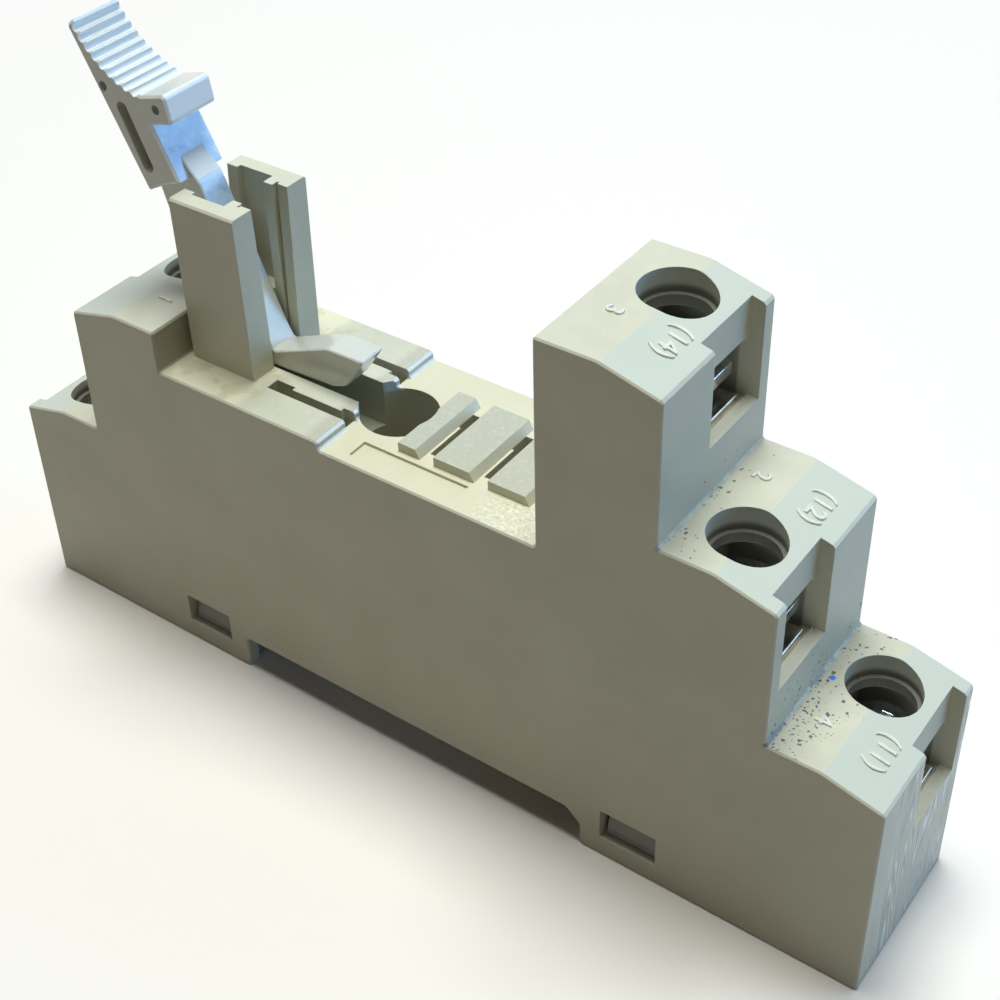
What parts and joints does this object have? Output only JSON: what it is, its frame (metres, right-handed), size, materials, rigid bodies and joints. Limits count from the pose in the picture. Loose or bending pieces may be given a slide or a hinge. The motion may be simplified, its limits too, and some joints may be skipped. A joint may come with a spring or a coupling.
{
  "type": "relay socket",
  "caption": "Slim rail mounted relay socket with stepped screw terminals at both ends, a relay seat between them and a tilting release lever between two posts.",
  "frame": {"origin": "middle of the seat that lies on the mounting rail, halfway across the width", "axes": "+X along the socket towards the end with three terminals, +Y across the rail seat, +Z away from the rail"},
  "size_m": [0.0844, 0.015, 0.0572],
  "materials": {
    "housing_plastic": "fine matt moulded surface",
    "cover_plastic": "fine matt moulded surface",
    "latch_plastic": "fine matt moulded surface",
    "lever_plastic": "satin moulded surface",
    "terminal_metal": "silver plated",
    "clip_metal": "silver plated spring bronze",
    "clamp_steel": "bright zinc plated",
    "screw_steel": "bright zinc plated",
    "spring_steel": "drawn wire"
  },
  "bodies": {
    "socket": {"housing": "housing_plastic", "base_cover": "cover_plastic", "latch_spring": "spring_steel", "terminal_strip_14": "terminal_metal", "terminal_strip_12": "terminal_metal", "terminal_strip_11": "terminal_metal", "terminal_strip_a1": "terminal_metal", "terminal_strip_a2": "terminal_metal", "contact_clip_14": "clip_metal", "contact_clip_12": "clip_metal", "contact_clip_11": "clip_metal", "contact_clip_a1": "clip_metal", "contact_clip_a2": "clip_metal"},
    "rail_latch": {"rail_latch": "latch_plastic"},
    "release_lever": {"release_lever": "lever_plastic"},
    "clamp_14": {"clamp_plate_14": "clamp_steel"},
    "clamp_12": {"clamp_plate_12": "clamp_steel"},
    "clamp_11": {"clamp_plate_11": "clamp_steel"},
    "clamp_a1": {"clamp_plate_a1": "clamp_steel"},
    "clamp_a2": {"clamp_plate_a2": "clamp_steel"},
    "screw_14": {"terminal_screw_14": "screw_steel"},
    "screw_12": {"terminal_screw_12": "screw_steel"},
    "screw_11": {"terminal_screw_11": "screw_steel"},
    "screw_a1": {"terminal_screw_a1": "screw_steel"},
    "screw_a2": {"terminal_screw_a2": "screw_steel"}
  },
  "joints": [
    {"name": "lever_tilt", "type": "hinge", "parent": "socket", "child": "release_lever", "pos_m": [-0.02, 0, 0.02975], "axis": [0, 1, 0], "range_deg": [0, 24]},
    {"name": "latch_slide", "type": "slide", "parent": "socket", "child": "rail_latch", "axis": [-1, 0, 0], "range_m": [0, 0.0025], "stiffness_N_per_m": 400, "deforming": ["latch_spring"]},
    {"name": "clamp_lift_14", "type": "slide", "parent": "socket", "child": "clamp_14", "axis": [0, 0, 1], "range_m": [-0.0015, 0.0005]},
    {"name": "clamp_lift_12", "type": "slide", "parent": "socket", "child": "clamp_12", "axis": [0, 0, 1], "range_m": [-0.0015, 0.0005]},
    {"name": "clamp_lift_11", "type": "slide", "parent": "socket", "child": "clamp_11", "axis": [0, 0, 1], "range_m": [-0.0015, 0.0005]},
    {"name": "clamp_lift_a1", "type": "slide", "parent": "socket", "child": "clamp_a1", "axis": [0, 0, 1], "range_m": [-0.0015, 0.0005]},
    {"name": "clamp_lift_a2", "type": "slide", "parent": "socket", "child": "clamp_a2", "axis": [0, 0, 1], "range_m": [-0.0015, 0.0005]},
    {"name": "screw_turn_14", "type": "hinge", "parent": "clamp_14", "child": "screw_14", "pos_m": [0.01885, 0.00266, 0.0381], "axis": [0, 0, 1], "range_deg": [-901, 301]},
    {"name": "screw_turn_12", "type": "hinge", "parent": "clamp_12", "child": "screw_12", "pos_m": [0.02805, -0.00266, 0.02455], "axis": [0, 0, 1], "range_deg": [-901, 301]},
    {"name": "screw_turn_11", "type": "hinge", "parent": "clamp_11", "child": "screw_11", "pos_m": [0.03725, 0.00266, 0.011], "axis": [0, 0, 1], "range_deg": [-901, 301]},
    {"name": "screw_turn_a1", "type": "hinge", "parent": "clamp_a1", "child": "screw_a1", "pos_m": [-0.02805, 0.00266, 0.02455], "axis": [0, 0, 1], "range_deg": [-901, 301]},
    {"name": "screw_turn_a2", "type": "hinge", "parent": "clamp_a2", "child": "screw_a2", "pos_m": [-0.03725, -0.00266, 0.011], "axis": [0, 0, 1], "range_deg": [-901, 301]}
  ],
  "couplings": [
    {"joint": "screw_turn_14", "follows": "clamp_lift_14", "rad_per_m": 10472},
    {"joint": "screw_turn_12", "follows": "clamp_lift_12", "rad_per_m": 10472},
    {"joint": "screw_turn_11", "follows": "clamp_lift_11", "rad_per_m": 10472},
    {"joint": "screw_turn_a1", "follows": "clamp_lift_a1", "rad_per_m": 10472},
    {"joint": "screw_turn_a2", "follows": "clamp_lift_a2", "rad_per_m": 10472}
  ]
}
